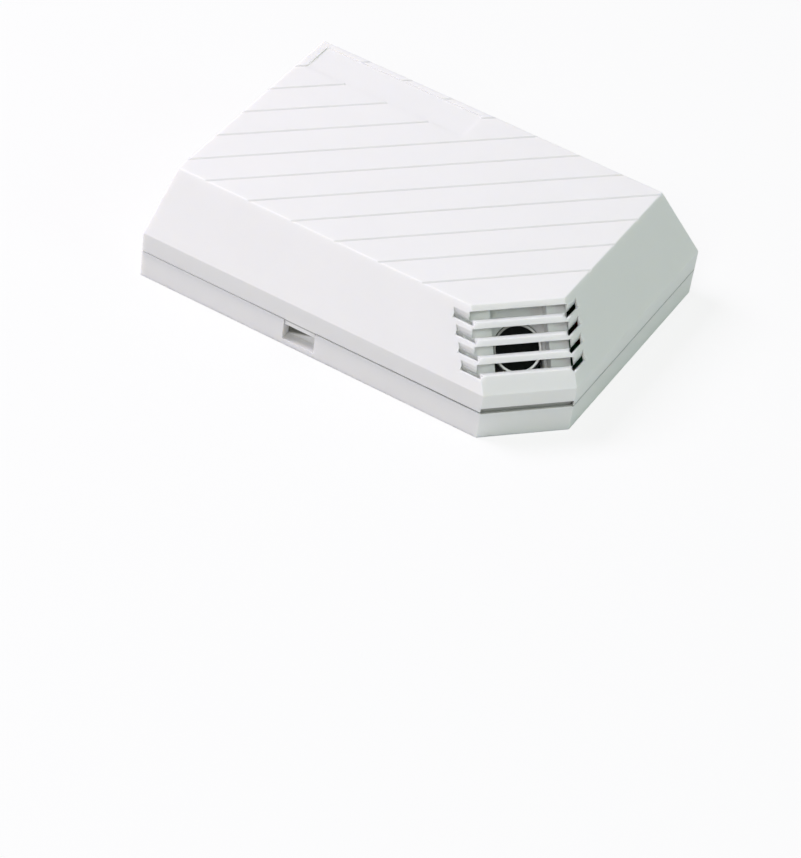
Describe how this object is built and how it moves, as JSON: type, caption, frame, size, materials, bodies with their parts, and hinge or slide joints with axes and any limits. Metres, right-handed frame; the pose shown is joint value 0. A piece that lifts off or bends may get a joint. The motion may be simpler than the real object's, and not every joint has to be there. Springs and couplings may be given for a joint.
{
  "type": "glass break sensor",
  "caption": "Wall-mounted glass break sensor: faceted off-white cover with one cut, louvred corner over a microphone, diagonal grooves, shallow base and circuit board.",
  "frame": {"origin": "centre of the bounding box in plan, on the base's wall face", "axes": "+X along the long side, +Y from the front edge to the back edge, +Z away from the wall; the cut corner with the louvres is at +X, -Y"},
  "size_m": [0.086, 0.0618, 0.022],
  "materials": {
    "housing": "fine matt moulded finish, off-white",
    "board": "green solder mask",
    "screw_steel": "zinc plated",
    "capsule_metal": "satin",
    "felt": "black felt",
    "rubber": "black rubber",
    "tinned_wire": "tinned",
    "terminal_plastic": "satin black",
    "relay_plastic": "satin cream",
    "chip_plastic": "matt black",
    "crystal_metal": "satin",
    "capacitor_sleeve": "shiny shrink sleeve",
    "ceramic": "matt ceramic",
    "resistor_coat": "matt glaze",
    "varistor_coat": "dipped coating",
    "led_lens": "tinted clear",
    "header_plastic": "matt black",
    "pin_brass": "gilt",
    "shunt_plastic": "satin blue",
    "spring_bronze": "bright"
  },
  "bodies": {
    "root": {"front_cover": "housing", "base": "housing", "circuit_board": "board", "board_screws": "screw_steel", "microphone_can": "capsule_metal", "microphone_felt": "felt", "microphone_boot": "rubber", "microphone_leads": "tinned_wire", "terminal_block": "terminal_plastic", "terminal_clamps": "tinned_wire", "terminal_screws": "screw_steel", "relay_case": "relay_plastic", "relay_pins": "tinned_wire", "processor_chip": "chip_plastic", "processor_pins": "tinned_wire", "amplifier_chip": "chip_plastic", "amplifier_pins": "tinned_wire", "crystal_can": "crystal_metal", "electrolytic_capacitors": "capacitor_sleeve", "ceramic_capacitors": "ceramic", "resistors": "resistor_coat", "diodes": "chip_plastic", "transistors": "chip_plastic", "transistor_legs": "tinned_wire", "surge_suppressor": "varistor_coat", "suppressor_leads": "tinned_wire", "status_led": "led_lens", "led_leads": "tinned_wire", "jumper_header": "header_plastic", "jumper_pins": "pin_brass", "jumper_shunts": "shunt_plastic", "tamper_spring": "spring_bronze", "tamper_contact": "tinned_wire"}
  },
  "joints": []
}
